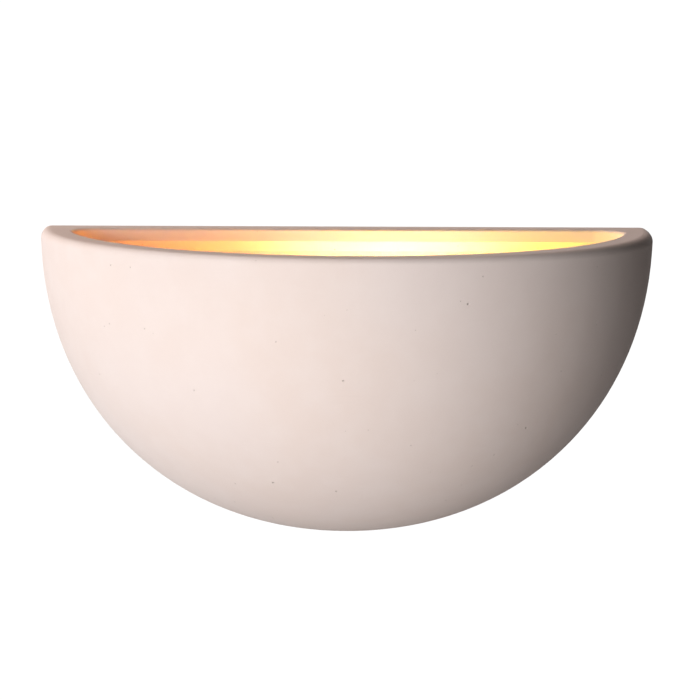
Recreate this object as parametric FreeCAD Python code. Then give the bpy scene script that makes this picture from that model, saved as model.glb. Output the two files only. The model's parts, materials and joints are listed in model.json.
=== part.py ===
import FreeCAD, Part
import math
import os
from FreeCAD import Vector as V

os.makedirs("parts", exist_ok=True)

# Uplighter wall light: a half bowl of unglazed ceramic that hangs on two hooks of a
# pressed steel wall bracket, with an E27 lampholder on an arm of the bracket inside it.
# Millimetres. While it is built, z is measured from the bowl's rim plane (rim = 0) and the
# wall is the plane y = 0 with the light in front of it at negative y. At export everything
# is lifted by RIM_Z, so that the origin is midway between the two wall screw slots.

RIM_Z = 50.0            # rim plane above the line of the wall screws

# ---- ceramic bowl
HALF_W = 160.0          # half width at the wall plane
PLAN_OFF = 2.365        # the plan circle's centre lies this far behind the wall plane
BOWL_H = 159.27         # height, rim to the lowest point
BOWL_N = 2.123          # exponent of the side profile
RIM_T = 14.5            # width of the rim's flat top
LIP_FACE = 6.6          # height of the lip's inner face
LIP_END = 12.6          # the lip has run out into the wall here
LIP_CORNER = 16.0       # corner radius of the mouth, seen from above
WALL_T = 8.5            # wall of the bowl below the lip
BACK_T = 6.5            # back wall
BEAD_T = 12.0           # lip along the top of the back wall
R_OUT_FRONT = 2.4       # rounding of the rim's outer edge at the front
R_OUT_END = 5.2         # the same at the two ends
R_TOP_IN = 1.6          # rounding of the rim's inner edge
OPEN_X = 100.0          # opening in the back wall, half width
OPEN_TOP = -27.05
OPEN_BOT = -110.0
OPEN_R = 16.0
LIFT = 8.5              # lift needed to clear the hooks

# ---- wall bracket
PL_X = 80.0
PL_TOP = -28.0
PL_BOT = -100.0
PL_T = 1.5
SLOT_X = 50.0           # slot centres at +-50
SLOT_Z = -50.0
SLOT_LEN = 9.0
SLOT_W = 5.0
HOOK_X = 50.0
HOOK_W = 16.0
HOOK_Y = 10.0           # reach of the hook from the wall plane
HOOK_TOP = -20.0
BOOT_T = 0.8
ENTRY_Z = -42.0         # cable entry
BOSS_R = 13.0
BOSS_TOP_R = 10.5
BOSS_H = 2.5
GROM_HOLE_R = 6.0
GROM_BORE_R = 4.0

# ---- lamp axis (parallel to the wall, cap to the left)
LY = -66.0
LZ = -80.0
BULB_X = 25.0           # centre of the globe
BULB_R = 30.0
TIP_END = -50.0         # contact end of the cap
PITCH = 3.629           # E27 thread
THREAD_RC = 11.82       # radius of the thread form's centre line
THREAD_RHO = 1.30       # thread form radius on the cap
CLEAR = 0.20            # radial clearance of the thread
CAP_ROOT_R = 12.05
SHELL_MINOR_R = CAP_ROOT_R + CLEAR
SHELL_OUT_R = 14.1
THREAD_X0 = -43.6       # first turn of the cap's thread

# ---- arm
ARM_T = 2.0
ARM_X = -80.0           # outer face of the arm's leg
NIP_R = 4.9
NIP_BORE = 3.6

# ---- wiring
WIRE_R = 1.1
COND_R = 0.55
PAIR = 1.25             # half distance of the live and neutral wires
SLEEVE_R = 3.4
SLEEVE_IN = 3.0
WAY_Z = {"earth": -62.0, "live": -74.0, "neutral": -86.0}
WAY_Y = -10.0


# ---------------------------------------------------------------- helpers
def box(x0, x1, y0, y1, z0, z1):
    a, b = sorted((x0, x1))
    c, d = sorted((y0, y1))
    e, f = sorted((z0, z1))
    return Part.makeBox(b - a, d - c, f - e, V(a, c, e))


def cyl(p, d, r, length):
    return Part.makeCylinder(r, length, V(*p), V(*d))


def cyl_x(x0, x1, r, y=LY, z=LZ):
    return Part.makeCylinder(r, x1 - x0, V(x0, y, z), V(1, 0, 0))


def cyl_y(y_front, y_back, r, x, z):
    return Part.makeCylinder(r, y_back - y_front, V(x, y_front, z), V(0, 1, 0))


def rev_x(points, y=LY, z=LZ):
    """Solid of revolution about the lamp axis from (x, r) points."""
    pts = [V(x, y, z + r) for x, r in points]
    w = Part.makePolygon(pts + [pts[0]])
    return Part.Face(w).revolve(V(0, y, z), V(1, 0, 0), 360)


def rev_y(points, x, z):
    """Solid of revolution about a line along y from (y, r) points."""
    pts = [V(x + r, y, z) for y, r in points]
    w = Part.makePolygon(pts + [pts[0]])
    return Part.Face(w).revolve(V(x, 0, z), V(0, 1, 0), 360)


def edges_near(shape, test):
    return [e for e in shape.Edges if test(e)]


def try_fillet(shape, r, test):
    es = edges_near(shape, test)
    if not es:
        print("no edges for fillet", r)
        return shape
    try:
        s = shape.makeFillet(r, es)
        if s.isValid() and s.Volume > 0.5 * shape.Volume:
            return s
    except Exception as ex:
        print("fillet", r, "left out:", ex)
    return shape


def on_line_y(e, x, z, tol=1e-4):
    return all(abs(v.Point.x - x) < tol and abs(v.Point.z - z) < tol for v in e.Vertexes)


def arc_path(points, radii=None):
    """Straight runs joined by tangent arcs through 3-D points, and the arcs' radii."""
    pts = [V(*p) for p in points]
    edges, used = [], []
    last = pts[0]
    for i in range(1, len(pts) - 1):
        a, b, c = pts[i - 1], pts[i], pts[i + 1]
        u, w = (a - b), (c - b)
        lu, lw = u.Length, w.Length
        u.normalize()
        w.normalize()
        turn = math.pi - u.getAngle(w)
        t = 0.45 * min(lu, lw)
        if radii and radii[i - 1]:
            t = min(t, radii[i - 1] * math.tan(turn / 2))
        r = t / math.tan(turn / 2)
        used.append(round(r, 1))
        p0, p1 = b + u * t, b + w * t
        bis = (u + w)
        bis.normalize()
        mid = b + bis * (r / math.cos(turn / 2) - r)
        edges.append(Part.LineSegment(last, p0).toShape())
        edges.append(Part.Arc(p0, mid, p1).toShape())
        last = p1
    edges.append(Part.LineSegment(last, pts[-1]).toShape())
    return Part.Wire(edges), used


def sweep(points, r, r_in=None, name=""):
    wire, used = arc_path(points)
    d = V(*points[1]) - V(*points[0])
    d.normalize()

    def tube(rad):
        c = Part.Wire([Part.makeCircle(rad, V(*points[0]), d)])
        return Part.Wire(wire.Edges).makePipeShell([c], True, False)
    s = tube(r)
    if r_in:
        s = s.cut(tube(r_in))
    area = math.pi * (r * r - (r_in or 0) ** 2)
    print(name, "radii", used, "volume ratio", round(s.Volume / (area * wire.Length), 4), s.isValid())
    return s


def one(shape):
    """The single solid of a result."""
    s = shape.Solids
    if len(s) != 1:
        print("  solids:", len(s))
    return s[0] if len(s) == 1 else Part.makeCompound(s)


def export(name, shape):
    s = shape.copy()
    s.translate(V(0, 0, RIM_Z))
    bad = [i for i, x in enumerate(s.Solids) if not x.isValid()]
    print("%-24s solids %d volume %.1f mm3 faces %d%s" % (
        name, len(s.Solids), s.Volume, len(s.Faces), "  INVALID" if bad or not s.isValid() else ""))
    s.exportStep("parts/%s.step" % name)


# ---------------------------------------------------------------- ceramic bowl
R_PLAN = math.hypot(HALF_W, PLAN_OFF)
H_FULL = BOWL_H / (1 - (PLAN_OFF / R_PLAN) ** BOWL_N) ** (1 / BOWL_N)


def profile_r(z, r, h):
    q = 1 - (min(-z, h) / h) ** BOWL_N
    return r * max(q, 0.0) ** (1 / BOWL_N)


def profile_edges(r, h, z_top):
    """Side profile of the bowl as a spline in the plane x > 0, from z_top to the pole."""
    pts = []
    n = 22
    a0 = math.asin(min(1.0, -z_top / h)) if z_top < 0 else 0.0
    for i in range(n + 1):
        a = a0 + (math.pi / 2 - a0) * i / n
        z = -h * math.sin(a)
        if i == n:
            pts.append(V(0, PLAN_OFF, -h))
        else:
            pts.append(V(profile_r(z, r, h), PLAN_OFF, z))
    s = Part.BSplineCurve()
    first = pts[1] - pts[0]
    if z_top >= 0:
        first = V(0, 0, -first.Length)
    last = V(-(pts[-1] - pts[-2]).Length, 0, 0)
    s.interpolate(Points=pts, InitialTangent=first, FinalTangent=last)
    return s.toShape(), pts[0], pts[-1]


def bowl_solid(r, h, z_top):
    e, p0, p1 = profile_edges(r, h, z_top)
    axis_top = V(0, PLAN_OFF, p0.z)
    w = Part.Wire([e, Part.makeLine(p1, axis_top), Part.makeLine(axis_top, p0)])
    f = Part.Face(w)
    # two quarter turns meet at the front, each from x to the front
    a = f.revolve(V(0, PLAN_OFF, 0), V(0, 0, 1), -180)
    return a


outer = bowl_solid(R_PLAN, H_FULL, 0.0)
outer = outer.common(box(-200, 200, -200, 0, -200, 10))
outer = outer.removeSplitter()


def rim_outer(e):
    return (abs(e.BoundBox.ZMin) < 1e-3 and abs(e.BoundBox.ZMax) < 1e-3
            and e.BoundBox.YMin < -100 and e.BoundBox.XLength > 1)


# split the rim's outer edge at the front, so that its rounding can grow towards the ends
halves = []
for sgn in (1, -1):
    b = box(0, sgn * 200, -200, 0, -200, 10)
    h = outer.common(b)
    e = [x for x in h.Edges if rim_outer(x)]
    try:
        p_first = e[0].valueAt(e[0].FirstParameter)
        front_first = abs(p_first.x) < 1.0
        r1, r2 = (R_OUT_FRONT, R_OUT_END) if front_first else (R_OUT_END, R_OUT_FRONT)
        g = h.makeFillet(r1, r2, e)
        if not g.isValid():
            raise ValueError("invalid")
        h = g
    except Exception as ex:
        print("rim rounding varied failed", ex)
        h = h.makeFillet(R_OUT_FRONT, e)
    halves.append(h)
outer_r = halves[0].fuse(halves[1]).removeSplitter()
print("outer", outer_r.isValid(), len(outer_r.Solids), outer_r.Volume)

# the cavity: inside of the bowl in front of the back wall, with rounded corners
R_IN = R_PLAN - WALL_T
H_IN = H_FULL - WALL_T
cav = bowl_solid(R_IN, H_IN, 0.0)
cav = cav.common(box(-200, 200, -200, -BACK_T, -200, -LIP_END + 0.3))
cav = try_fillet(cav, 8.0, lambda e: abs(e.BoundBox.YMin + BACK_T) < 1e-3
                 and abs(e.BoundBox.YMax + BACK_T) < 1e-3 and e.BoundBox.ZMin < -20)


def plan_wire(r, y_back, rc, z):
    """Half circle of radius r about the plan centre, cut at y_back, corners rounded by rc."""
    xb = math.sqrt(r * r - (y_back - PLAN_OFF) ** 2)
    # corner circle centre: rc in front of the back line and rc inside the arc
    cy = y_back - rc
    d = r - rc
    cx = math.sqrt(d * d - (cy - PLAN_OFF) ** 2)
    k = r / d
    tx, ty = cx * k, PLAN_OFF + (cy - PLAN_OFF) * k
    m = V(cx, cy, z)
    t_arc = V(tx, ty, z)
    t_back = V(cx, y_back, z)
    dm = (V(tx, ty, z) - m) + (t_back - m)
    dm.normalize()
    mid_r = m + dm * rc
    mir = lambda p: V(-p.x, p.y, p.z)
    front = V(0, PLAN_OFF - r, z)
    es = [Part.LineSegment(mir(t_back), t_back).toShape(),
          Part.Arc(t_back, mid_r, t_arc).toShape(),
          Part.Arc(t_arc, front, mir(t_arc)).toShape(),
          Part.Arc(mir(t_arc), mir(mid_r), mir(t_back)).toShape()]
    return Part.Wire(es)


R_LIP = R_PLAN - RIM_T
tan_d = math.tan(math.radians(9.0))     # draft of the lip's inner face
top = Part.makeLoft([plan_wire(R_LIP + 1.0 * tan_d, -BEAD_T + 1.0 * tan_d, LIP_CORNER, 1.0),
                     plan_wire(R_LIP - LIP_FACE * tan_d, -BEAD_T - LIP_FACE * tan_d, LIP_CORNER - 1.0, -LIP_FACE)],
                    True, True)
low = Part.makeLoft([plan_wire(R_LIP - LIP_FACE * tan_d, -BEAD_T - LIP_FACE * tan_d, LIP_CORNER - 1.0, -LIP_FACE),
                     plan_wire(R_IN - 0.55, -BACK_T - 0.15, 8.2, -LIP_END)], True, True)
cav2 = cav.fuse(top).fuse(low)
print("cavity", cav2.isValid(), len(cav2.Solids), cav2.Volume)
bowl = outer_r.cut(cav2)

# opening in the back wall
op = box(-OPEN_X, OPEN_X, -BACK_T - 14, 1, OPEN_BOT, OPEN_TOP)
op = op.makeFillet(OPEN_R, [e for e in op.Edges if abs(e.BoundBox.XLength) < 1e-6 and abs(e.BoundBox.ZLength) < 1e-6])
bowl = bowl.cut(op)
bowl = one(bowl)
print("bowl", bowl.isValid(), bowl.ShapeType, round(bowl.Volume), len(bowl.Faces))

# rounded inner edge of the rim, front and back


def inner_top(e):
    bb = e.BoundBox
    if abs(bb.ZMin) > 1e-3 or abs(bb.ZMax) > 1e-3:
        return False
    if bb.XLength < 1e-3:
        return False
    # inside the rim band
    p = e.valueAt((e.FirstParameter + e.LastParameter) / 2)
    return math.hypot(p.x, p.y - PLAN_OFF) < R_LIP + 2.0 and p.y < -3.0


bowl = try_fillet(bowl, R_TOP_IN, inner_top)
bowl = try_fillet(bowl, 1.0, lambda e: abs(e.BoundBox.YMin + BACK_T) < 1e-3 and abs(e.BoundBox.YMax + BACK_T) < 1e-3
                  and e.BoundBox.ZMin > OPEN_BOT - 1 and e.BoundBox.ZMax < OPEN_TOP + 1
                  and e.BoundBox.XMin > -OPEN_X - 1 and e.BoundBox.XMax < OPEN_X + 1)
export("ceramic_bowl", bowl)


# ---------------------------------------------------------------- wall bracket
plate = box(-PL_X, PL_X, -PL_T, 0, PL_BOT, PL_TOP)
plate = plate.makeFillet(5.0, [e for e in plate.Edges if e.BoundBox.XLength < 1e-6 and e.BoundBox.ZLength < 1e-6])
for s in (-1, 1):
    x = s * HOOK_X
    tab = box(x - HOOK_W / 2, x + HOOK_W / 2, -HOOK_Y, 0, PL_TOP - PL_T, PL_TOP)
    lip = box(x - HOOK_W / 2, x + HOOK_W / 2, -HOOK_Y, -HOOK_Y + PL_T, PL_TOP - PL_T, HOOK_TOP)
    hook = tab.fuse(lip).removeSplitter()
    hook = try_fillet(hook, 1.4, lambda e: abs(e.BoundBox.YMin + HOOK_Y) < 1e-4 and e.BoundBox.YLength < 1e-4
                      and abs(e.BoundBox.ZMax - (PL_TOP - PL_T)) < 1e-4 and e.BoundBox.ZLength < 1e-4)
    plate = plate.fuse(hook)
plate = plate.removeSplitter()
# raised boss round the cable entry
plate = plate.cut(cyl_y(-PL_T - 1, 1, BOSS_R, 0, ENTRY_Z))
boss = rev_y([(0, BOSS_R + 0.4), (-PL_T, BOSS_R + 0.4), (-PL_T, BOSS_R), (-BOSS_H - PL_T, BOSS_TOP_R),
              (-BOSS_H - PL_T, GROM_HOLE_R), (-BOSS_H, GROM_HOLE_R), (-BOSS_H, BOSS_TOP_R - 1.0),
              (0, BOSS_R - 1.6)], 0, ENTRY_Z)
plate = plate.fuse(boss)
# wall screw slots
for s in (-1, 1):
    x = s * SLOT_X
    h = (SLOT_LEN - SLOT_W) / 2
    slot = box(x - h, x + h, -PL_T - 1, 1, SLOT_Z - SLOT_W / 2, SLOT_Z + SLOT_W / 2)
    slot = slot.fuse(cyl_y(-PL_T - 1, 1, SLOT_W / 2, x - h, SLOT_Z)).fuse(cyl_y(-PL_T - 1, 1, SLOT_W / 2, x + h, SLOT_Z))
    plate = plate.cut(slot)
# drawn and tapped collars for the earth screw and the terminal block's screws
EARTH_X, EARTH_Z = -28.0, -42.0
BLK_SCREWS = [-68.0, -80.0]
collars = [(EARTH_X, EARTH_Z, 3.2, 2.0)] + [(0.0, z, 2.9, 1.5) for z in BLK_SCREWS]
for x, z, ro, ri in collars:
    plate = plate.fuse(cyl_y(-3.0, -PL_T + 0.2, ro, x, z))
for x, z, ro, ri in collars:
    plate = plate.cut(cyl_y(-4, 1, ri, x, z))
# countersunk rivet holes
RIVETS = [(-56.0, -70.0), (-56.0, -90.0)]
for x, z in RIVETS:
    plate = plate.cut(cyl_y(-2, 1, 2.05, x, z))
    plate = plate.cut(rev_y([(0.01, 0), (0.01, 3.26), (-0.01, 3.25), (-1.2, 2.05), (-1.2, 0)], x, z))
plate = one(plate.removeSplitter())
export("wall_bracket", plate)

# silicone boots on the hooks
boots = []
for s in (-1, 1):
    x = s * HOOK_X
    w = HOOK_W / 2
    b = box(x - w - BOOT_T, x + w + BOOT_T, -HOOK_Y - BOOT_T, -HOOK_Y + PL_T + BOOT_T, PL_TOP, HOOK_TOP + BOOT_T)
    b = b.makeFillet(0.6, [e for e in b.Edges if e.BoundBox.ZMin > HOOK_TOP])
    pad = box(x - w, x + w, -HOOK_Y + PL_T, -PL_T - 0.1, PL_TOP, PL_TOP + BOOT_T)
    b = b.fuse(pad).cut(box(x - w - 0.02, x + w + 0.02, -HOOK_Y - 0.02, -HOOK_Y + PL_T + 0.02, PL_TOP - 1, HOOK_TOP + 0.02))
    boots.append(one(b))
export("hook_boots", Part.makeCompound(boots))

# cable grommet in the boss
g0, g1 = -BOSS_H - PL_T, -BOSS_H
grom = rev_y([(g1 + 1.3, GROM_BORE_R + 0.5), (g1 + 1.3, 7.6), (g1 + 0.9, 8.2), (g1 + 0.03, 8.2), (g1 + 0.03, GROM_HOLE_R - 0.03),
              (g0 - 0.03, GROM_HOLE_R - 0.03), (g0 - 0.03, 8.2), (g0 - 0.9, 8.2), (g0 - 1.4, 7.5), (g0 - 1.4, GROM_BORE_R + 0.5),
              (g0 - 1.0, GROM_BORE_R), (g1 + 0.9, GROM_BORE_R)], 0, ENTRY_Z)
export("cable_grommet", grom)

# ---------------------------------------------------------------- lamp arm
foot = box(ARM_X, -46, -PL_T - ARM_T, -PL_T, -96, -64)
leg_pts = [(-PL_T, -64), (-PL_T, -96), (-14, -96), (-52, LZ - 12.0), (LY, LZ - 12.0), (LY, LZ + 12.0), (-52, LZ + 12.0), (-14, -64)]
leg_w = Part.makePolygon([V(ARM_X, y, z) for y, z in leg_pts] + [V(ARM_X, leg_pts[0][0], leg_pts[0][1])])
leg = Part.Face(leg_w).extrude(V(ARM_T, 0, 0))
leg = leg.fuse(cyl_x(ARM_X, ARM_X + ARM_T, 12.0))
arm = foot.fuse(leg).removeSplitter()
arm = try_fillet(arm, 2.8, lambda e: on_line_y(e, ARM_X, 0) or (
    abs(e.BoundBox.XMin - ARM_X) < 1e-4 and e.BoundBox.XLength < 1e-4 and abs(e.BoundBox.YMin + PL_T) < 1e-4 and e.BoundBox.YLength < 1e-4))
arm = try_fillet(arm, 1.0, lambda e: abs(e.BoundBox.XMin - ARM_X - ARM_T) < 1e-4 and e.BoundBox.XLength < 1e-4
                 and abs(e.BoundBox.YMin + PL_T + ARM_T) < 1e-4 and e.BoundBox.YLength < 1e-4)
arm = try_fillet(arm, 4.0, lambda e: abs(e.BoundBox.XMin + 46) < 1e-4 and e.BoundBox.XLength < 1e-4 and e.BoundBox.ZLength < 1e-4)
arm = arm.cut(cyl_x(ARM_X - 1, ARM_X + ARM_T + 1, NIP_R + 0.15))
SLEEVE_HOLE_Y = -24.0
arm = arm.cut(cyl_x(ARM_X - 1, ARM_X + ARM_T + 1, 5.6, y=SLEEVE_HOLE_Y))
for x, z in RIVETS:
    arm = arm.cut(cyl_y(-6, 0, 2.05, x, z))
export("lamp_arm", one(arm))

riv = []
for x, z in RIVETS:
    y0 = -PL_T - ARM_T
    r = rev_y([(-0.05, 0), (-0.05, 3.17), (-1.15, 2.0), (y0, 2.0), (y0, 3.6), (y0 - 0.7, 3.3), (y0 - 1.4, 2.3), (y0 - 1.75, 1.0), (y0 - 1.8, 0)], x, z)
    riv.append(r)
export("arm_rivets", Part.makeCompound(riv))

# ---------------------------------------------------------------- nipple, nut, washer
nip = cyl_x(-86, -72.2, NIP_R).cut(cyl_x(-90, -70, NIP_BORE))
# three turns of visible thread relief at each end are shown as fine ring grooves
for x in [-85.2, -84.2]:
    nip = nip.cut(cyl_x(x - 0.18, x + 0.18, 6).cut(cyl_x(x - 1, x + 1, NIP_R - 0.35)))
export("threaded_nipple", one(nip))


def hexagon(x0, x1, af):
    r = af / math.sqrt(3)
    pts = [V(x0, LY + r * math.cos(math.radians(60 * i + 30)), LZ + r * math.sin(math.radians(60 * i + 30))) for i in range(6)]
    return Part.Face(Part.makePolygon(pts + [pts[0]])).extrude(V(x1 - x0, 0, 0))


nut = hexagon(-83.8, -80.8, 14.0)
cone = rev_x([(-83.8, 0), (-83.8, 7.2), (-83.0, 8.4), (-80.8, 8.4), (-80.8, 0)])
nut = nut.common(cone).cut(cyl_x(-90, -70, NIP_R + 0.05))
export("nipple_locknut", one(nut))
wash = cyl_x(-80.78, -80.02, 7.6).cut(cyl_x(-82, -79, NIP_R + 0.1))
for i in range(12):
    a = math.radians(30 * i)
    wash = wash.cut(cyl_x(-82, -79, 0.8, y=LY + 7.9 * math.cos(a), z=LZ + 7.9 * math.sin(a)))
export("nipple_lockwasher", one(wash))

# ---------------------------------------------------------------- lampholder
rc = rev_x([(-77.98, 5.0), (-77.98, 9.5), (-75.6, 10.2), (-73.6, 12.6), (-70.5, 15.9), (-67.4, 18.4), (-64.8, 19.4),
            (-54.05, 19.4), (-54.05, 17.62), (-60.0, 17.62), (-60.0, 16.5), (-64.6, 16.5), (-68.0, 13.4), (-71.0, 9.2), (-72.0, 6.6), (-72.0, 5.0)])
# moulded grip flutes
for i in range(18):
    a = math.radians(20 * i)
    rc = rc.cut(cyl_x(-63.2, -55.6, 0.9, y=LY + 19.9 * math.cos(a), z=LZ + 19.9 * math.sin(a)))
export("lampholder_rear_cap", one(rc))

body = rev_x([(-59.9, 14.6), (-59.9, 17.5), (-54.0, 17.5), (-54.0, 19.5), (-25.2, 19.5), (-24.3, 19.0), (-24.0, 18.2), (-24.0, 14.6), (-24.3, 14.1),
              (-25.5, 13.95), (-25.5, 14.6)])
for x in (-50.0, -46.4, -42.8):
    body = body.cut(cyl_x(x - 0.6, x + 0.6, 21).cut(cyl_x(x - 1, x + 1, 18.9)))
export("lampholder_body", one(body))

ins = cyl_x(-58, -52.02, 14.4)
ins = ins.cut(cyl_x(-60, -50, 1.25, z=LZ + 6.5)).cut(cyl_x(-60, -50, 1.25, z=LZ - 6.5))
ins = ins.cut(box(-59, -56.5, LY - 1.4, LY + 1.4, LZ - 3.2, LZ + 3.2))
ins = try_fillet(ins, 0.6, lambda e: abs(e.BoundBox.XMin + 58) < 1e-4 and e.BoundBox.XLength < 1e-4 and e.BoundBox.YLength > 25)
export("contact_insert", one(ins))


def helix_solid(x_start, turns, rho):
    """Round thread form swept on the E27 helix, along the lamp axis."""
    h = Part.makeHelix(PITCH, PITCH * turns, THREAD_RC)
    c = Part.Wire([Part.makeCircle(rho, V(THREAD_RC, 0, 0), V(0, 1, 0))])
    s = Part.Wire(h.Edges).makePipeShell([c], True, True)
    s.rotate(V(0, 0, 0), V(0, 1, 0), 90)
    s.translate(V(x_start, LY, LZ))
    return s


bore = cyl_x(-51.4, -20.0, SHELL_MINOR_R).fuse(helix_solid(THREAD_X0 - PITCH, 6.4, THREAD_RHO + CLEAR))
shell = cyl_x(-52.0, -26.5, SHELL_OUT_R).cut(bore)
base_hole = cyl_x(-53.0, -51.0, 11.6).cut(box(-53, -50, LY - 2.5, LY + 2.5, LZ - 14.0, LZ - 5.4))
shell = shell.cut(base_hole)
shell = shell.fuse(box(-58.0, -51.7, LY - 0.7, LY + 0.7, LZ - 7.2, LZ - 5.8))
export("lampholder_thread", one(shell))

cc_pts = [(-52.0, 8.0), (-52.0, 3.2), (-50.62, 0.6), (-50.62, -1.0), (-51.3, -2.6), (-50.95, -2.75), (-50.3, -1.2), (-50.3, 0.75), (-51.62, 3.5), (-51.62, 8.0)]
cc_w = Part.makePolygon([V(x, LY - 3.0, LZ + z) for x, z in cc_pts + [cc_pts[0]]])
cc = Part.Face(cc_w).extrude(V(0, 6.0, 0))
cc = cc.fuse(box(-58.0, -51.7, LY - 0.7, LY + 0.7, LZ + 5.8, LZ + 7.2))
export("centre_contact", one(cc))

terms, tscr = [], []
for s in (1, -1):
    zc = LZ + s * 6.5
    t = box(-64.0, -58.0, LY - 3.4, LY + 3.4, zc - 2.9, zc + 2.9)
    t = t.makeFillet(0.5, [e for e in t.Edges if e.BoundBox.XLength > 5])
    t = t.cut(cyl_x(-66, -59.5, 1.3, z=zc)).cut(cyl_y(LY - 5, LY, 1.5, -61.6, zc))
    terms.append(one(t))
    sc = cyl_y(LY - 4.0, LY - 0.8, 1.45, -61.6, zc).fuse(cyl_y(LY - 5.9, LY - 3.45, 2.3, -61.6, zc))
    sc = sc.cut(box(-61.6 - 0.35, -61.6 + 0.35, LY - 7, LY - 5.0, zc - 3, zc + 3))
    tscr.append(one(sc))
export("holder_terminals", Part.makeCompound(terms))
export("holder_terminal_screws", Part.makeCompound(tscr))

# ---------------------------------------------------------------- terminal block
blk = box(-11, 11, -18, -PL_T - 0.02, -92, -56)
blk = blk.makeFillet(1.2, [e for e in blk.Edges if e.BoundBox.YLength > 10])
blk = try_fillet(blk, 0.8, lambda e: abs(e.BoundBox.YMin + 18) < 1e-4 and e.BoundBox.YLength < 1e-4)
for z in (-68.0, -80.0):
    blk = blk.cut(box(-12, 12, -19, -15.5, z - 0.7, z + 0.7))       # grooves between the ways
for z in WAY_Z.values():
    blk = blk.cut(cyl((-12, WAY_Y, z), (1, 0, 0), 2.75, 24))
    for x in (-5.5, 5.5):
        blk = blk.cut(cyl_y(-19, WAY_Y, 1.9, x, z))
for z in BLK_SCREWS:
    blk = blk.cut(cyl_y(-19, 0, 1.7, 0, z)).cut(cyl_y(-19, -14, 3.1, 0, z)).cut(cyl_y(-3.3, 0, 3.1, 0, z))
export("terminal_block", one(blk))

bars, grubs = [], []
for z in WAY_Z.values():
    b = cyl((-9.5, WAY_Y, z), (1, 0, 0), 2.65, 19).cut(cyl((-12, WAY_Y, z), (1, 0, 0), 1.6, 24))
    for x in (-5.5, 5.5):
        b = b.cut(cyl_y(-15, WAY_Y, 1.5, x, z))
        g = cyl_y(-16.9, -10.75, 1.45, x, z).cut(box(x - 0.3, x + 0.3, -18, -16.0, z - 2, z + 2))
        grubs.append(one(g))
    bars.append(one(b))
export("terminal_barrels", Part.makeCompound(bars))
export("terminal_clamp_screws", Part.makeCompound(grubs))

bs = []
for z in BLK_SCREWS:
    s = cyl_y(-14.0, -0.3, 1.45, 0, z).fuse(cyl_y(-16.0, -14.0, 2.75, 0, z))
    s = s.makeFillet(0.5, [e for e in s.Edges if abs(e.BoundBox.YMin + 16) < 1e-4 and e.BoundBox.YLength < 1e-4])
    s = s.cut(box(-2.0, 2.0, -17, -15.0, z - 0.35, z + 0.35)).cut(box(-0.35, 0.35, -17, -15.0, z - 2, z + 2))
    bs.append(one(s))
export("block_screws", Part.makeCompound(bs))

# ---------------------------------------------------------------- earth terminal
es = cyl_y(-4.45, -0.3, 1.94, EARTH_X, EARTH_Z).fuse(cyl_y(-6.9, -4.45, 3.7, EARTH_X, EARTH_Z))
es = es.makeFillet(0.6, [e for e in es.Edges if abs(e.BoundBox.YMin + 6.9) < 1e-4 and e.BoundBox.YLength < 1e-4])
es = es.cut(box(EARTH_X - 2.6, EARTH_X + 2.6, -8, -5.9, EARTH_Z - 0.45, EARTH_Z + 0.45))
es = es.cut(box(EARTH_X - 0.45, EARTH_X + 0.45, -8, -5.9, EARTH_Z - 2.6, EARTH_Z + 2.6))
export("earth_screw", one(es))
ew = cyl_y(-4.44, -3.86, 3.95, EARTH_X, EARTH_Z).cut(cyl_y(-6, -2, 2.05, EARTH_X, EARTH_Z))
for i in range(10):
    a = math.radians(36 * i)
    ew = ew.cut(cyl_y(-6, -2, 0.45, EARTH_X + 4.1 * math.cos(a), EARTH_Z + 4.1 * math.sin(a)))
export("earth_lockwasher", one(ew))
tag = cyl_y(-3.84, -3.02, 4.2, EARTH_X, EARTH_Z)
tag = tag.fuse(box(EARTH_X - 1.9, EARTH_X + 1.9, -3.84, -3.02, -49.5, EARTH_Z))
tag = tag.fuse(cyl((EARTH_X, -4.9, -54.5), (0, 0, 1), 1.88, 6.5))
tag = tag.cut(cyl((EARTH_X, -4.9, -56), (0, 0, 1), 1.2, 9)).cut(cyl_y(-6, -2, 2.05, EARTH_X, EARTH_Z))
export("earth_tag", one(tag))

# ---------------------------------------------------------------- wiring
PLAN_PATH = [(-24.0, -10.2), (-51.0, -13.0), (-79.0, -24.0), (-98.0, -36.0), (-106.0, -51.0), (-101.0, -66.0), (-80.0, -66.0)]
sleeve = sweep([(x, y, LZ) for x, y in PLAN_PATH], SLEEVE_R, SLEEVE_IN, "sleeving")
export("wire_sleeving", one(sleeve))

for name, s in (("live", 1), ("neutral", -1)):
    zw = WAY_Z[name]
    zp = LZ + s * PAIR
    zt = LZ + s * 6.5
    pts = [(-11.2, WAY_Y, zw), (-16.0, WAY_Y, zw)] + [(x, y, zp) for x, y in PLAN_PATH[:-1]] + [(-72.5, LY, zp), (-66.8, LY, zt), (-64.3, LY, zt)]
    w = sweep(pts, WIRE_R, None, name)
    w = w.fuse(cyl((-11.5, WAY_Y, zw), (1, 0, 0), COND_R, 7.5))
    w = w.fuse(cyl((-64.6, LY, zt), (1, 0, 0), COND_R, 4.6))
    export("wire_" + name, one(w))
pts = [(-11.2, WAY_Y, -62.0), (-22.0, -9.5, -64.2), (-28.0, -7.4, -61.4), (-28.0, -4.9, -56.6), (-28.0, -4.9, -54.7)]
w = sweep(pts, WIRE_R, None, "earth")
w = w.fuse(cyl((-11.5, WAY_Y, -62.0), (1, 0, 0), COND_R, 7.5)).fuse(cyl((-28.0, -4.9, -55.0), (0, 0, 1), COND_R, 5.0))
export("wire_earth", one(w))

# ---------------------------------------------------------------- lamp
th = math.radians(124.0)
p0 = (BULB_X + BULB_R * math.cos(th), BULB_R * math.sin(th))
d0 = (-math.sin(th), math.cos(th))
NECK_X, NECK_R = -20.3, 12.5


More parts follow.
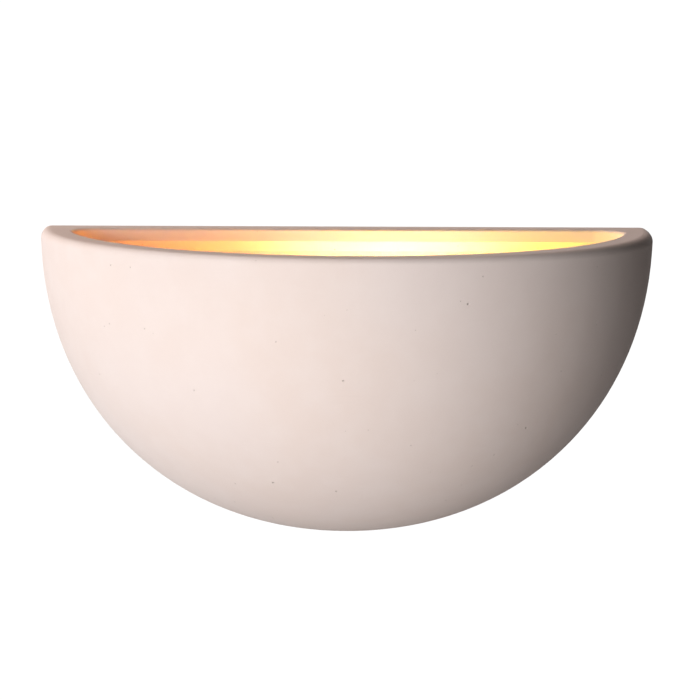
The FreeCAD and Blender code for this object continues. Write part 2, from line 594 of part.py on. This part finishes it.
def bulb_profile(off):
    """Closed outline of the globe and neck, moved inwards by off."""
    r = BULB_R - off
    tip = V(BULB_X + r, LY, LZ)
    a = V(BULB_X + r * math.cos(th), LY, LZ + r * math.sin(th))
    m = V(BULB_X + r * math.cos(th / 2), LY, LZ + r * math.sin(th / 2))
    nk = V(NECK_X, LY, LZ + NECK_R - off)
    b1 = V(a.x + d0[0] * 12.0, LY, a.z + d0[1] * 12.0)
    b2 = V(nk.x + 12.0, LY, nk.z + 1.2)
    bz = Part.BezierCurve()
    bz.setPoles([a, b1, b2, nk])
    end = V(-24.4, LY, LZ + NECK_R - off)
    return [Part.Arc(tip, m, a).toShape(), bz.toShape(), Part.makeLine(nk, end)], tip, end


GLASS_T = 0.9
eo, tip_o, end_o = bulb_profile(0.0)
ei, tip_i, end_i = bulb_profile(GLASS_T)
gl = Part.Wire(eo + [Part.makeLine(end_o, end_i)] + list(reversed(ei)) + [Part.makeLine(tip_i, tip_o)])
glass = Part.Face(gl).revolve(V(0, LY, LZ), V(1, 0, 0), 360)
export("bulb_glass", glass)

cap = rev_x([(-45.4, 11.25), (-45.4, 11.9), (-45.1, CAP_ROOT_R), (-25.6, CAP_ROOT_R), (-24.6, 13.2), (-24.0, 13.45), (-21.0, 13.45), (-20.6, 13.2),
             (-20.6, 12.85), (-24.6, 12.85), (-25.4, 12.0), (-25.8, 11.25)])
ridge = helix_solid(THREAD_X0, 4.5, THREAD_RHO)
ridge = ridge.cut(cyl_x(-50, -20, 11.6))
cap = cap.fuse(ridge)
export("bulb_cap", one(cap))

insul = rev_x([(-48.6, 1.25), (-48.6, 5.8), (-48.0, 6.5), (-45.9, 11.0), (-45.42, 11.6), (-45.42, 11.15), (-43.2, 11.15), (-43.2, 1.25)])
export("bulb_insulator", insul)
cont = rev_x([(-50.0, 0), (-50.0, 2.6), (-49.75, 3.8), (-49.3, 4.5), (-48.62, 4.7), (-48.62, 1.2), (-42.8, 1.2), (-42.8, 0)])
export("bulb_contact", cont)

stem = rev_x([(-24.6, 9.8), (-24.6, 11.2), (-22.0, 11.2), (-19.0, 9.6), (-14.5, 5.4), (-10.0, 3.6), (2.0, 3.3), (6.0, 2.8), (6.8, 1.6), (14.0, 1.3), (15.0, 0),
              (-2.0, 0), (-3.0, 1.6), (-10.0, 1.9), (-15.5, 3.8), (-19.8, 8.0), (-22.0, 9.8)])
export("bulb_stem", stem)

# two lead wires leave the stem's press and hold the ends of the filament
leads = []
FIL_X, FIL_W = 24.0, 11.0
for s in (1, -1):
    pts = [(4.6, LY, LZ + s * 3.75), (12.0, LY, LZ + s * 4.6), (20.0, LY, LZ + s * 9.5), (FIL_X - 0.75, LY, LZ + s * FIL_W)]
    ld = sweep(pts, 0.35, None, "lead")
    leads.append(one(ld))
export("bulb_leads", Part.makeCompound(leads))

# coiled filament, drawn as the outside of its coil
fil_pts = [V(FIL_X, LY, LZ + FIL_W + 0.6), V(FIL_X + 4.5, LY, LZ), V(FIL_X, LY, LZ - FIL_W - 0.6)]
fa = Part.Arc(*fil_pts)
t0 = fa.tangent(fa.FirstParameter)[0]
fc = Part.Wire([Part.makeCircle(0.6, fil_pts[0], t0)])
fil = Part.Wire([fa.toShape()]).makePipeShell([fc], True, False)
export("bulb_filament", one(fil))
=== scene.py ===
import bpy
import math
import json
from mathutils import Vector, Quaternion, Matrix

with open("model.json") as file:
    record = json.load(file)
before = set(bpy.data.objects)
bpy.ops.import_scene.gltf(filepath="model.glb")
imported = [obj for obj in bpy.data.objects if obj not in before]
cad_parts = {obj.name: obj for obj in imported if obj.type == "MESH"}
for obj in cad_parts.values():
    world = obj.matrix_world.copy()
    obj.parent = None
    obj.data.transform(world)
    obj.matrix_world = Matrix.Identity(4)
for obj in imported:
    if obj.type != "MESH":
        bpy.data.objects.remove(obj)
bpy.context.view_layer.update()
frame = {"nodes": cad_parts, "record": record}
nodes = frame["nodes"]

# ------------------------------------------------------------------ camera
# at the photograph's viewing angle: a little above the rim, a little left of the middle
RIM = 0.050
target = Vector((0.0, -0.040, RIM - 0.080))
dist, elev, azim, roll = 1.1401, math.radians(9.6), math.radians(-2.125), math.radians(0.42)
cam_data = bpy.data.cameras.new("camera")
cam = bpy.data.objects.new("camera", cam_data)
bpy.context.scene.collection.objects.link(cam)
cam.location = target + dist * Vector((math.sin(azim) * math.cos(elev), -math.cos(azim) * math.cos(elev), math.sin(elev)))
q = (target - cam.location).to_track_quat("-Z", "Y")
q = q @ Quaternion((1, 0, 0), math.radians(1.009)) @ Quaternion((0, 1, 0), math.radians(-0.023)) @ Quaternion((0, 0, 1), roll)
cam.rotation_mode = "QUATERNION"
cam.rotation_quaternion = q
cam_data.sensor_width = 36.0
cam_data.lens = 2218.0 / 700.0 * 36.0
cam_data.clip_start, cam_data.clip_end = 0.01, 100.0
bpy.context.scene.camera = cam


# ------------------------------------------------------------------ node helpers
class Mat:
    def __init__(self, name):
        self.m = bpy.data.materials.new(name)
        self.m.use_nodes = True
        self.t = self.m.node_tree
        self.bsdf = next(n for n in self.t.nodes if n.type == "BSDF_PRINCIPLED")
        self.out = next(n for n in self.t.nodes if n.type == "OUTPUT_MATERIAL")
        self.tc = self.t.nodes.new("ShaderNodeTexCoord")

    def node(self, kind, **kw):
        n = self.t.nodes.new(kind)
        for k, v in kw.items():
            setattr(n, k, v)
        return n

    def link(self, a, b):
        self.t.links.new(a, b)

    def coord(self, scale=(1, 1, 1), loc=(0, 0, 0), rot=(0, 0, 0)):
        mp = self.node("ShaderNodeMapping")
        mp.inputs["Scale"].default_value = scale
        mp.inputs["Location"].default_value = loc
        mp.inputs["Rotation"].default_value = rot
        self.link(self.tc.outputs["Object"], mp.inputs["Vector"])
        return mp.outputs["Vector"]

    def noise(self, scale, detail=3.0, rough=0.5, vec=None, distortion=0.0):
        n = self.node("ShaderNodeTexNoise")
        n.inputs["Scale"].default_value = scale
        n.inputs["Detail"].default_value = detail
        n.inputs["Roughness"].default_value = rough
        n.inputs["Distortion"].default_value = distortion
        self.link(vec if vec is not None else self.tc.outputs["Object"], n.inputs["Vector"])
        return n.outputs["Fac"]

    def ramp(self, fac, lo, hi, a=0.0, b=1.0):
        n = self.node("ShaderNodeMapRange")
        n.inputs["From Min"].default_value = lo
        n.inputs["From Max"].default_value = hi
        n.inputs["To Min"].default_value = a
        n.inputs["To Max"].default_value = b
        self.link(fac, n.inputs["Value"])
        return n.outputs["Result"]

    def math(self, op, a, b=None):
        n = self.node("ShaderNodeMath", operation=op)
        for i, v in enumerate((a, b)):
            if v is None:
                continue
            if isinstance(v, (int, float)):
                n.inputs[i].default_value = v
            else:
                self.link(v, n.inputs[i])
        return n.outputs[0]

    def mix(self, fac, a, b):
        n = self.node("ShaderNodeMix", data_type="RGBA")
        if isinstance(fac, (int, float)):
            n.inputs[0].default_value = fac
        else:
            self.link(fac, n.inputs[0])
        for i, v in ((6, a), (7, b)):
            if isinstance(v, tuple):
                n.inputs[i].default_value = (*v, 1.0)
            else:
                self.link(v, n.inputs[i])
        return n.outputs[2]

    def bump(self, height, dist, strength=1.0, normal=None):
        n = self.node("ShaderNodeBump")
        n.inputs["Distance"].default_value = dist
        n.inputs["Strength"].default_value = strength
        self.link(height, n.inputs["Height"])
        if normal is not None:
            self.link(normal, n.inputs["Normal"])
        return n.outputs["Normal"]

    def set(self, **kw):
        names = {"color": "Base Color", "rough": "Roughness", "normal": "Normal", "metal": "Metallic", "spec": "Specular IOR Level",
                 "sheen": "Sheen Weight", "coat": "Coat Weight", "coat_rough": "Coat Roughness", "ior": "IOR", "trans": "Transmission Weight",
                 "sss": "Subsurface Weight", "emit": "Emission Color", "emit_s": "Emission Strength", "alpha": "Alpha"}
        for k, v in kw.items():
            s = self.bsdf.inputs[names[k]]
            if isinstance(v, (int, float)):
                s.default_value = v
            elif isinstance(v, tuple):
                s.default_value = (*v, 1.0)
            else:
                self.link(v, s)


def lin(r, g, b):
    """sRGB 0-255 to linear."""
    def f(c):
        c = c / 255.0
        return c / 12.92 if c <= 0.04045 else ((c + 0.055) / 1.055) ** 2.4
    return (f(r), f(g), f(b))


def use(node, mat):
    o = nodes[node]
    o.data.materials.clear()
    o.data.materials.append(mat.m)


# ------------------------------------------------------------------ materials
LAMP_X = 0.025          # middle of the glowing part, along the lamp


def pits(m, scale, lo, hi, share, off):
    """Small round pits scattered over faces that look along X, Y or Z: one in a share of the cells."""
    nrm = m.node("ShaderNodeSeparateXYZ")
    m.link(m.tc.outputs["Normal"], nrm.inputs[0])
    pos = m.node("ShaderNodeSeparateXYZ")
    m.link(m.tc.outputs["Object"], pos.inputs[0])
    total = None
    for axis, (u, v) in (("X", ("Y", "Z")), ("Y", ("X", "Z")), ("Z", ("X", "Y"))):
        c = m.node("ShaderNodeCombineXYZ")
        m.link(pos.outputs[u], c.inputs[0])
        m.link(pos.outputs[v], c.inputs[1])
        mp = m.node("ShaderNodeMapping")
        mp.inputs["Location"].default_value = (off, off * 0.71, 0)
        m.link(c.outputs[0], mp.inputs["Vector"])
        vo = m.node("ShaderNodeTexVoronoi", feature="F1", voronoi_dimensions="2D")
        vo.inputs["Scale"].default_value = scale
        m.link(mp.outputs[0], vo.inputs["Vector"])
        sep = m.node("ShaderNodeSeparateColor")
        m.link(vo.outputs["Color"], sep.inputs[0])
        size = m.ramp(sep.outputs[1], 0.0, 1.0, 0.55, 1.3)
        dist = m.math("DIVIDE", vo.outputs["Distance"], size)
        dot = m.math("MULTIPLY", m.ramp(dist, lo, hi, 1.0, 0.0), m.math("GREATER_THAN", sep.outputs[0], share))
        face = m.math("GREATER_THAN", m.math("ABSOLUTE", nrm.outputs[axis]), 0.60)
        dot = m.math("MULTIPLY", dot, face)
        total = dot if total is None else m.math("MAXIMUM", total, dot)
    return total


def bisque():
    """Unglazed, low-fired white clay: matt, faintly pink, sandy, with a few pinholes darkened inside by painted shade,
    and faint tooling lines.
    """
    m = Mat("bisque_ceramic")
    base = lin(229, 213, 206)
    warm = lin(228, 210, 201)
    pale = lin(232, 217, 210)
    # broad, faint clouding from the firing
    col = m.mix(m.ramp(m.noise(9.0, 2.0, 0.5), 0.38, 0.62), warm, base)
    col = m.mix(m.ramp(m.noise(60.0, 3.0, 0.55), 0.4, 0.75, 0.0, 0.45), col, pale)
    # short level tooling lines left by the former
    lines = m.noise(1.0, 3.0, 0.6, m.coord(scale=(26.0, 26.0, 800.0)))
    where = m.ramp(m.noise(34.0, 2.0, 0.5), 0.54, 0.72)
    line_f = m.math("MULTIPLY", m.ramp(lines, 0.56, 0.76), where)
    col = m.mix(m.math("MULTIPLY", line_f, 0.22), col, lin(214, 197, 190))
    # sandy grain
    grain = m.noise(2600.0, 2.0, 0.6)
    col = m.mix(m.ramp(grain, 0.25, 0.42, 0.18, 0.0), col, lin(205, 187, 178))
    # pinholes: a shallow dent in the relief, and painted shade darkening the inside of each
    pit_dent_and_shade = m.math("MAXIMUM", pits(m, 30.0, 0.005, 0.017, 0.62, 0.37), pits(m, 95.0, 0.010, 0.030, 0.93, 1.91))
    col = m.mix(m.math("MULTIPLY", pit_dent_and_shade, 0.30), col, lin(130, 110, 100))
    # relief
    h = m.math("MULTIPLY", grain, 0.00005)
    h = m.math("SUBTRACT", h, m.math("MULTIPLY", pit_dent_and_shade, 0.0004))
    h = m.math("ADD", h, m.math("MULTIPLY", m.noise(90.0, 3.0, 0.5), 0.00006))
    h = m.math("SUBTRACT", h, m.math("MULTIPLY", line_f, 0.00003))
    nrm = m.bump(h, 1.0, 1.0)
    m.set(color=col, rough=m.ramp(grain, 0.3, 0.7, 0.80, 0.95), normal=nrm, spec=0.32)
    return m


def lamp_glass():
    """Frosted envelope, lit: warm white around the filament, deeper orange towards the cap, yellow at the crown."""
    m = Mat("frosted_glass")
    sep = m.node("ShaderNodeSeparateXYZ")
    m.link(m.tc.outputs["Object"], sep.inputs[0])
    cr = m.node("ShaderNodeValToRGB")
    cr.color_ramp.interpolation = "EASE"
    stops = ((0.00, (0.479, 0.226, 0.015)), (0.42, (0.559, 0.271, 0.018)), (0.56, (0.798, 0.407, 0.032)), (0.66, (0.798, 0.475, 0.050)),
             (0.74, (0.798, 0.497, 0.054)), (0.88, (0.612, 0.452, 0.032)), (1.00, (0.532, 0.429, 0.027)))
    while len(cr.color_ramp.elements) < len(stops):
        cr.color_ramp.elements.new(0.5)
    for el, (pos, c) in zip(cr.color_ramp.elements, stops):
        el.position = pos
        el.color = (*c, 1.0)
    m.link(m.ramp(sep.outputs["X"], -0.030, 0.045, 0.0, 1.0), cr.inputs[0])
    frost = m.noise(900.0, 2.0)
    m.set(color=(0.9, 0.85, 0.75), rough=m.ramp(frost, 0.3, 0.7, 0.42, 0.5), emit=cr.outputs[0], emit_s=14.0)
    return m


def powder_coat(name, rgb):
    """Powder coat: a fine orange-peel skin with a soft gloss."""
    m = Mat(name)
    c = m.mix(m.ramp(m.noise(40.0, 3.0), 0.35, 0.65), lin(*rgb), lin(*[v - 5 for v in rgb]))
    fleck = m.noise(1800.0, 2.0, 0.6)
    c = m.mix(m.ramp(fleck, 0.66, 0.74, 0.0, 0.25), c, lin(*[v - 26 for v in rgb]))
    peel = m.noise(700.0, 3.0, 0.55)
    h = m.math("MULTIPLY", peel, 0.00007)
    m.set(color=c, rough=m.ramp(peel, 0.3, 0.7, 0.34, 0.50), normal=m.bump(h, 1.0), spec=0.5)
    return m


def rubber(name, rgb):
    """Moulded silicone: satin, slightly milky, with a faint mould texture."""
    m = Mat(name)
    c = m.mix(m.ramp(m.noise(80.0, 3.0), 0.35, 0.65), lin(*rgb), lin(*[v - 8 for v in rgb]))
    g = m.noise(1500.0, 2.0)
    m.set(color=c, rough=m.ramp(g, 0.3, 0.7, 0.48, 0.64), normal=m.bump(m.math("MULTIPLY", g, 0.00003), 1.0), spec=0.4, sss=0.08)
    return m


def plated(name, rgb, tint, rough, scratch=0.12, grain=(60.0, 60.0, 900.0)):
    """Plated or bare metal: faint patches of tint, fine drawn scratches and uneven gloss."""
    m = Mat(name)
    patch = m.noise(120.0, 4.0, 0.6)
    c = m.mix(m.ramp(patch, 0.38, 0.66), lin(*rgb), lin(*tint))
    drawn = m.noise(1.0, 3.0, 0.65, m.coord(scale=grain))
    fine = m.noise(2200.0, 2.0, 0.6)
    c = m.mix(m.ramp(fine, 0.62, 0.78, 0.0, 0.30), c, lin(*[v * 0.72 for v in rgb]))
    r = m.math("ADD", m.ramp(drawn, 0.3, 0.7, rough - 0.05, rough + scratch), m.ramp(patch, 0.4, 0.7, 0.0, 0.08))
    h = m.math("ADD", m.math("MULTIPLY", drawn, 0.00001), m.math("MULTIPLY", fine, 0.000006))
    m.set(color=c, rough=r, metal=1.0, normal=m.bump(h, 1.0))
    return m


def moulding(name, rgb, rough=0.42):
    """Injection-moulded heat-proof plastic: even satin skin, slightly yellowed in patches."""
    m = Mat(name)
    c = m.mix(m.ramp(m.noise(28.0, 3.0), 0.35, 0.70), lin(*rgb), lin(rgb[0] - 2, rgb[1] - 7, rgb[2] - 18))
    spark = m.noise(1300.0, 3.0, 0.6)
    m.set(color=c, rough=m.ramp(spark, 0.3, 0.7, rough - 0.05, rough + 0.1), normal=m.bump(m.math("MULTIPLY", spark, 0.00003), 1.0), spec=0.5)
    return m


def porcelain():
    """Electrical porcelain: hard white glaze over a faintly grey body, with tiny iron specks."""
    m = Mat("porcelain")
    c = m.mix(m.ramp(m.noise(50.0, 3.0), 0.35, 0.65), lin(240, 238, 231), lin(232, 231, 226))
    speck = m.node("ShaderNodeTexVoronoi", feature="F1")
    speck.inputs["Scale"].default_value = 420.0
    m.link(m.tc.outputs["Object"], speck.inputs["Vector"])
    c = m.mix(m.ramp(speck.outputs["Distance"], 0.03, 0.09, 0.6, 0.0), c, lin(120, 100, 80))
    wave = m.noise(160.0, 2.0)
    m.set(color=c, rough=m.ramp(wave, 0.3, 0.7, 0.10, 0.20), normal=m.bump(m.math("MULTIPLY", wave, 0.00006), 1.0), spec=0.5, coat=0.4)
    return m


def insulation(name, rgb, stripe=None):
    """Wire insulation: extruded, satin; the earth core's second colour runs along one side of it."""
    m = Mat(name)
    c = m.mix(m.ramp(m.noise(260.0, 3.0), 0.35, 0.65), lin(*rgb), lin(*[v * 0.88 for v in rgb]))
    if stripe:
        d = m.node("ShaderNodeVectorMath", operation="DOT_PRODUCT")
        m.link(m.tc.outputs["Normal"], d.inputs[0])
        d.inputs[1].default_value = (0.36, -0.48, 0.80)
        band = m.ramp(d.outputs["Value"], 0.10, 0.16)
        c = m.mix(band, c, lin(*stripe))
    f = m.noise(1400.0, 2.0)
    m.set(color=c, rough=m.ramp(f, 0.3, 0.7, 0.36, 0.50), normal=m.bump(m.math("MULTIPLY", f, 0.00002), 1.0), spec=0.5)
    return m


def sleeving():
    """Braided glass-fibre sleeving: crossing yarns, the gaps between them darkened with painted shade, slightly
    fluffy.
    """
    m = Mat("glass_sleeving")
    a = m.node("ShaderNodeTexWave", wave_type="BANDS", bands_direction="DIAGONAL")
    a.inputs["Scale"].default_value = 260.0
    a.inputs["Distortion"].default_value = 1.0
    m.link(m.tc.outputs["Object"], a.inputs["Vector"])
    b = m.node("ShaderNodeTexWave", wave_type="BANDS", bands_direction="DIAGONAL")
    b.inputs["Scale"].default_value = 260.0
    b.inputs["Distortion"].default_value = 1.0
    m.link(m.coord(scale=(-1, 1, 1)), b.inputs["Vector"])
    w = m.math("MAXIMUM", a.outputs["Fac"], b.outputs["Fac"])
    fuzz = m.noise(1800.0, 3.0, 0.6)
    # painted shade: the low parts of the weave, the gaps between yarns, take the darker colour
    c = m.mix(w, lin(176, 168, 150), lin(238, 233, 220))
    c = m.mix(m.ramp(fuzz, 0.55, 0.75, 0.0, 0.3), c, lin(200, 190, 168))
    h = m.math("ADD", m.math("MULTIPLY", w, 0.00012), m.math("MULTIPLY", fuzz, 0.00006))
    m.set(color=c, rough=0.88, normal=m.bump(h, 1.0), spec=0.3, sheen=0.25)
    return m


def vitrite():
    """Black glass insulator of the lamp cap, glossy with faint flow streaks."""
    m = Mat("black_vitrite")
    flow = m.noise(300.0, 3.0, 0.6, distortion=1.5)
    c = m.mix(m.ramp(flow, 0.4, 0.7), lin(14, 11, 18), lin(34, 26, 40))
    m.set(color=c, rough=m.ramp(flow, 0.3, 0.7, 0.06, 0.18), normal=m.bump(m.math("MULTIPLY", flow, 0.00004), 1.0), spec=0.5)
    return m


def stem_glass():
    """Clear lead glass of the lamp's inner mount, with faint cords."""
    m = Mat("clear_glass")
    cord = m.noise(240.0, 2.0, 0.5)
    c = m.mix(m.ramp(cord, 0.4, 0.7), (0.93, 0.96, 0.94), (0.86, 0.90, 0.88))
    m.set(color=c, rough=m.ramp(cord, 0.3, 0.7, 0.02, 0.08), normal=m.bump(m.math("MULTIPLY", cord, 0.00004), 1.0), trans=1.0, ior=1.5)
    return m


FINISH = {
    "bisque_ceramic": bisque(),
    "frosted_glass": lamp_glass(),
    "white_powder_coat": powder_coat("white_powder_coat", (236, 235, 229)),
    "white_silicone": rubber("white_silicone", (224, 222, 214)),
    "zinc_steel": plated("zinc_steel", (205, 208, 212), (214, 208, 190), 0.28),
    "brass_screw": plated("brass_screw", (214, 178, 98), (190, 150, 78), 0.26),
    "tinned_copper": plated("tinned_copper", (212, 208, 200), (206, 182, 160), 0.30),
    "white_moulding": moulding("white_moulding", (234, 231, 222)),
    "porcelain": porcelain(),
    "nickel_brass": plated("nickel_brass", (206, 203, 192), (196, 190, 170), 0.20),
    "spring_bronze": plated("spring_bronze", (198, 148, 96), (176, 124, 84), 0.26),
    "brass": plated("brass", (216, 182, 104), (188, 150, 84), 0.30),
    "brown_wire": insulation("brown_wire", (104, 62, 38)),
    "blue_wire": insulation("blue_wire", (42, 96, 176)),
    "earth_wire": insulation("earth_wire", (46, 128, 58), (232, 208, 48)),
    "glass_sleeving": sleeving(),
    "lamp_cap_metal": plated("lamp_cap_metal", (214, 212, 206), (204, 200, 188), 0.22),
    "black_vitrite": vitrite(),
    "solder": plated("solder", (186, 186, 188), (166, 164, 162), 0.38),
    "clear_glass": stem_glass(),
    "lead_wire": plated("lead_wire", (190, 176, 160), (176, 150, 128), 0.30),
    "tungsten": plated("tungsten", (150, 148, 146), (120, 116, 112), 0.40),
}
for part in frame["record"]["subparts"]:
    use(part["node"], FINISH[part["material_slot"]])

# ------------------------------------------------------------------ stage and light
mesh = bpy.data.meshes.new("floor")
z = -1.5
mesh.from_pydata([(-30, -30, z), (30, -30, z), (30, 30, z), (-30, 30, z)], [], [(0, 1, 2, 3)])
floor = bpy.data.objects.new("floor", mesh)
bpy.context.scene.collection.objects.link(floor)
fm = Mat("floor")
fn = fm.noise(3.0, 3.0)
fm.set(color=fm.mix(fm.ramp(fn, 0.3, 0.7), (0.90, 0.90, 0.90), (0.94, 0.94, 0.94)), rough=0.9)
f_em = fm.node("ShaderNodeEmission")
f_em.inputs["Color"].default_value = (1, 1, 1, 1)
f_em.inputs["Strength"].default_value = 1.05
f_lp = fm.node("ShaderNodeLightPath")
f_mx = fm.node("ShaderNodeMixShader")
fm.link(f_lp.outputs["Is Camera Ray"], f_mx.inputs[0])
fm.link(fm.bsdf.outputs[0], f_mx.inputs[1])
fm.link(f_em.outputs[0], f_mx.inputs[2])
fm.link(f_mx.outputs[0], fm.out.inputs["Surface"])
floor.data.materials.append(fm.m)

world = bpy.data.worlds.new("world")
bpy.context.scene.world = world
world.use_nodes = True
wt = world.node_tree
bg = next(n for n in wt.nodes if n.type == "BACKGROUND")
out = next(n for n in wt.nodes if n.type == "OUTPUT_WORLD")
bg.inputs["Color"].default_value = (1, 1, 1, 1)
bg.inputs["Strength"].default_value = 0.03
bg2 = wt.nodes.new("ShaderNodeBackground")
bg2.inputs["Color"].default_value = (1, 1, 1, 1)
bg2.inputs["Strength"].default_value = 1.05
lp = wt.nodes.new("ShaderNodeLightPath")
mx = wt.nodes.new("ShaderNodeMixShader")
wt.links.new(lp.outputs["Is Camera Ray"], mx.inputs[0])
wt.links.new(bg.outputs[0], mx.inputs[1])
wt.links.new(bg2.outputs[0], mx.inputs[2])
wt.links.new(mx.outputs[0], out.inputs["Surface"])


def area(name, az, el, d, size, power, color=(1, 1, 1)):
    """A soft light at an azimuth (0 in front, negative to the left) and elevation, aimed at the bowl."""
    a, e = math.radians(az), math.radians(el)
    c = Vector((0, -0.06, -0.02))
    l = bpy.data.lights.new(name, "AREA")
    l.shape = "SQUARE"
    l.size = size
    l.energy = power
    l.color = color
    o = bpy.data.objects.new(name, l)
    o.location = c + d * Vector((math.sin(a) * math.cos(e), -math.cos(a) * math.cos(e), math.sin(e)))
    o.rotation_mode = "QUATERNION"
    o.rotation_quaternion = (c - o.location).to_track_quat("-Z", "Y")
    bpy.context.scene.collection.objects.link(o)
    return o


area("key", -25, 0, 1.6, 0.8, 19.2)
area("key_left", -40, 0, 1.6, 0.8, 9.3, (0.97, 1.0, 1.04))
area("side", -120, 0, 1.6, 0.8, 11.4, (0.93, 1.0, 1.06))
area("top_back", -135, 48, 1.0, 0.8, 6.2, (1.0, 0.83, 0.75))
area("fill_right", 110, 14, 1.6, 0.8, 0.64, (1.0, 0.86, 0.80))
area("back", 165, 8, 1.6, 0.8, 6.0)

def filament(name, power, color, angle, aim):
    """The filament's own direct light, which the frosted envelope passes, towards one side of the bowl."""
    l = bpy.data.lights.new(name, "SPOT")
    l.energy = power
    l.color = color
    l.shadow_soft_size = 0.006
    l.spot_size = math.radians(angle)
    l.spot_blend = 1.0
    l.use_shadow = False
    o = bpy.data.objects.new(name, l)
    o.location = Vector((LAMP_X, -0.066, -0.030))
    o.rotation_mode = "QUATERNION"
    o.rotation_quaternion = (Vector(aim) - o.location).to_track_quat("-Z", "Y")
    bpy.context.scene.collection.objects.link(o)
    return o


filament("filament_to_wall", 0.34, (0.60, 0.61, 1.0), 95, (0.022, -0.014, 0.030))
filament("filament_wide", 0.29, (1.0, 1.0, 0.0), 130, (0.022, -0.014, 0.030))
filament("filament_left", 0.53, (1.0, 0.17, 0.07), 80, (-0.110, -0.030, 0.036))
filament("filament_right", 0.20, (1.0, 0.65, 0.04), 80, (0.135, -0.030, 0.036))
filament("filament_down", 0.06, (0.35, 0.55, 1.0), 165, (0.025, -0.080, -0.110))

bpy.context.scene.view_settings.view_transform = "Standard"
bpy.context.scene.view_settings.look = "None"
